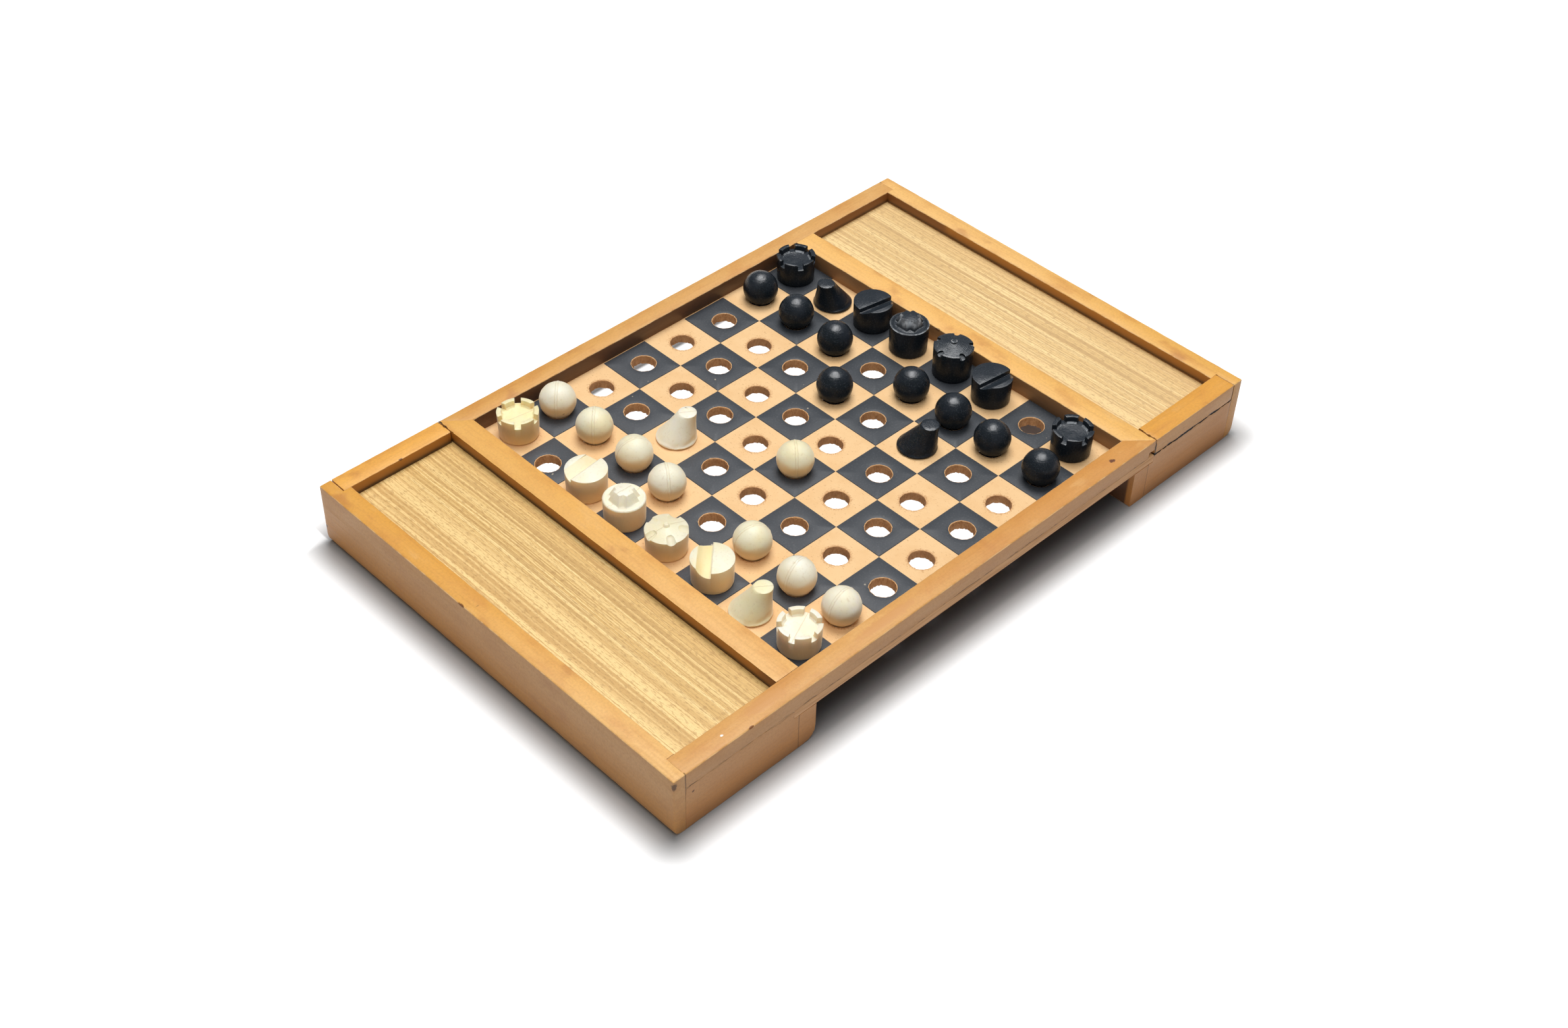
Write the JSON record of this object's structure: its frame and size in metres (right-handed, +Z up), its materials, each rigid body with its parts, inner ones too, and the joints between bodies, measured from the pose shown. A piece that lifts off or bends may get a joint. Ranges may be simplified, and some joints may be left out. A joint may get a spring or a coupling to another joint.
{
  "type": "travel chess set",
  "caption": "Wooden travel chess set: pierced board framed between two storage boxes with sliding lids, with moulded peg chessmen standing in its holes.",
  "frame": {"origin": "on the table under the middle of the set, at the centre of the bounding box's underside", "axes": "+X along the length, from white's box to black's box; +Y from the near rail to the far rail; +Z up out of the board"},
  "size_m": [0.25, 0.16, 0.0306],
  "materials": {
    "board": "raw fibreboard with painted dark squares",
    "frame": "varnished",
    "veneer": "varnished veneer",
    "white": "ivory, slightly glossy",
    "black": "charcoal, satin"
  },
  "bodies": {
    "frame": {"playing_board": "board", "near_rail": "frame", "far_rail": "frame", "cross_rail_white": "frame", "cross_rail_black": "frame", "end_wall_white": "frame", "end_wall_black": "frame", "long_side_white": "frame", "long_side_black": "frame", "short_side_white": "frame", "short_side_black": "frame", "cross_wall_white": "frame", "cross_wall_black": "frame", "floor_white": "frame", "floor_black": "frame"},
    "lid_white": {"lid_panel_white": "veneer", "lid_strip_white": "frame"},
    "lid_black": {"lid_panel_black": "veneer", "lid_strip_black": "frame"},
    "white_rook_1": {"white_rook_1": "white"},
    "white_bishop_1": {"white_bishop_1": "white"},
    "white_queen": {"white_queen": "white"},
    "white_king": {"white_king": "white"},
    "white_bishop_2": {"white_bishop_2": "white"},
    "white_knight_1": {"white_knight_1": "white"},
    "white_rook_2": {"white_rook_2": "white"},
    "white_knight_2": {"white_knight_2": "white"},
    "white_pawn_1": {"white_pawn_1": "white"},
    "white_pawn_2": {"white_pawn_2": "white"},
    "white_pawn_3": {"white_pawn_3": "white"},
    "white_pawn_4": {"white_pawn_4": "white"},
    "white_pawn_5": {"white_pawn_5": "white"},
    "white_pawn_6": {"white_pawn_6": "white"},
    "white_pawn_7": {"white_pawn_7": "white"},
    "white_pawn_8": {"white_pawn_8": "white"},
    "black_rook_1": {"black_rook_1": "black"},
    "black_knight_1": {"black_knight_1": "black"},
    "black_bishop_1": {"black_bishop_1": "black"},
    "black_queen": {"black_queen": "black"},
    "black_king": {"black_king": "black"},
    "black_bishop_2": {"black_bishop_2": "black"},
    "black_knight_2": {"black_knight_2": "black"},
    "black_rook_2": {"black_rook_2": "black"},
    "black_pawn_1": {"black_pawn_1": "black"},
    "black_pawn_2": {"black_pawn_2": "black"},
    "black_pawn_3": {"black_pawn_3": "black"},
    "black_pawn_4": {"black_pawn_4": "black"},
    "black_pawn_5": {"black_pawn_5": "black"},
    "black_pawn_6": {"black_pawn_6": "black"},
    "black_pawn_7": {"black_pawn_7": "black"},
    "black_pawn_8": {"black_pawn_8": "black"}
  },
  "joints": [
    {"name": "lid_white_slide", "type": "slide", "parent": "frame", "child": "lid_white", "axis": [0, 1, 0], "range_m": [0, 0.16]},
    {"name": "lid_black_slide", "type": "slide", "parent": "frame", "child": "lid_black", "axis": [0, -1, 0], "range_m": [0, 0.16]},
    {"name": "white_rook_1_lift", "type": "slide", "parent": "frame", "child": "white_rook_1", "axis": [0, 0, 1], "range_m": [0, 0.025]},
    {"name": "white_bishop_1_lift", "type": "slide", "parent": "frame", "child": "white_bishop_1", "axis": [0, 0, 1], "range_m": [0, 0.025]},
    {"name": "white_queen_lift", "type": "slide", "parent": "frame", "child": "white_queen", "axis": [0, 0, 1], "range_m": [0, 0.025]},
    {"name": "white_king_lift", "type": "slide", "parent": "frame", "child": "white_king", "axis": [0, 0, 1], "range_m": [0, 0.025]},
    {"name": "white_bishop_2_lift", "type": "slide", "parent": "frame", "child": "white_bishop_2", "axis": [0, 0, 1], "range_m": [0, 0.025]},
    {"name": "white_knight_1_lift", "type": "slide", "parent": "frame", "child": "white_knight_1", "axis": [0, 0, 1], "range_m": [0, 0.025]},
    {"name": "white_rook_2_lift", "type": "slide", "parent": "frame", "child": "white_rook_2", "axis": [0, 0, 1], "range_m": [0, 0.025]},
    {"name": "white_knight_2_lift", "type": "slide", "parent": "frame", "child": "white_knight_2", "axis": [0, 0, 1], "range_m": [0, 0.025]},
    {"name": "white_pawn_1_lift", "type": "slide", "parent": "frame", "child": "white_pawn_1", "axis": [0, 0, 1], "range_m": [0, 0.025]},
    {"name": "white_pawn_2_lift", "type": "slide", "parent": "frame", "child": "white_pawn_2", "axis": [0, 0, 1], "range_m": [0, 0.025]},
    {"name": "white_pawn_3_lift", "type": "slide", "parent": "frame", "child": "white_pawn_3", "axis": [0, 0, 1], "range_m": [0, 0.025]},
    {"name": "white_pawn_4_lift", "type": "slide", "parent": "frame", "child": "white_pawn_4", "axis": [0, 0, 1], "range_m": [0, 0.025]},
    {"name": "white_pawn_5_lift", "type": "slide", "parent": "frame", "child": "white_pawn_5", "axis": [0, 0, 1], "range_m": [0, 0.025]},
    {"name": "white_pawn_6_lift", "type": "slide", "parent": "frame", "child": "white_pawn_6", "axis": [0, 0, 1], "range_m": [0, 0.025]},
    {"name": "white_pawn_7_lift", "type": "slide", "parent": "frame", "child": "white_pawn_7", "axis": [0, 0, 1], "range_m": [0, 0.025]},
    {"name": "white_pawn_8_lift", "type": "slide", "parent": "frame", "child": "white_pawn_8", "axis": [0, 0, 1], "range_m": [0, 0.025]},
    {"name": "black_rook_1_lift", "type": "slide", "parent": "frame", "child": "black_rook_1", "axis": [0, 0, 1], "range_m": [0, 0.025]},
    {"name": "black_knight_1_lift", "type": "slide", "parent": "frame", "child": "black_knight_1", "axis": [0, 0, 1], "range_m": [0, 0.025]},
    {"name": "black_bishop_1_lift", "type": "slide", "parent": "frame", "child": "black_bishop_1", "axis": [0, 0, 1], "range_m": [0, 0.025]},
    {"name": "black_queen_lift", "type": "slide", "parent": "frame", "child": "black_queen", "axis": [0, 0, 1], "range_m": [0, 0.025]},
    {"name": "black_king_lift", "type": "slide", "parent": "frame", "child": "black_king", "axis": [0, 0, 1], "range_m": [0, 0.025]},
    {"name": "black_bishop_2_lift", "type": "slide", "parent": "frame", "child": "black_bishop_2", "axis": [0, 0, 1], "range_m": [0, 0.025]},
    {"name": "black_knight_2_lift", "type": "slide", "parent": "frame", "child": "black_knight_2", "axis": [0, 0, 1], "range_m": [0, 0.025]},
    {"name": "black_rook_2_lift", "type": "slide", "parent": "frame", "child": "black_rook_2", "axis": [0, 0, 1], "range_m": [0, 0.025]},
    {"name": "black_pawn_1_lift", "type": "slide", "parent": "frame", "child": "black_pawn_1", "axis": [0, 0, 1], "range_m": [0, 0.025]},
    {"name": "black_pawn_2_lift", "type": "slide", "parent": "frame", "child": "black_pawn_2", "axis": [0, 0, 1], "range_m": [0, 0.025]},
    {"name": "black_pawn_3_lift", "type": "slide", "parent": "frame", "child": "black_pawn_3", "axis": [0, 0, 1], "range_m": [0, 0.025]},
    {"name": "black_pawn_4_lift", "type": "slide", "parent": "frame", "child": "black_pawn_4", "axis": [0, 0, 1], "range_m": [0, 0.025]},
    {"name": "black_pawn_5_lift", "type": "slide", "parent": "frame", "child": "black_pawn_5", "axis": [0, 0, 1], "range_m": [0, 0.025]},
    {"name": "black_pawn_6_lift", "type": "slide", "parent": "frame", "child": "black_pawn_6", "axis": [0, 0, 1], "range_m": [0, 0.025]},
    {"name": "black_pawn_7_lift", "type": "slide", "parent": "frame", "child": "black_pawn_7", "axis": [0, 0, 1], "range_m": [0, 0.025]},
    {"name": "black_pawn_8_lift", "type": "slide", "parent": "frame", "child": "black_pawn_8", "axis": [0, 0, 1], "range_m": [0, 0.025]}
  ]
}
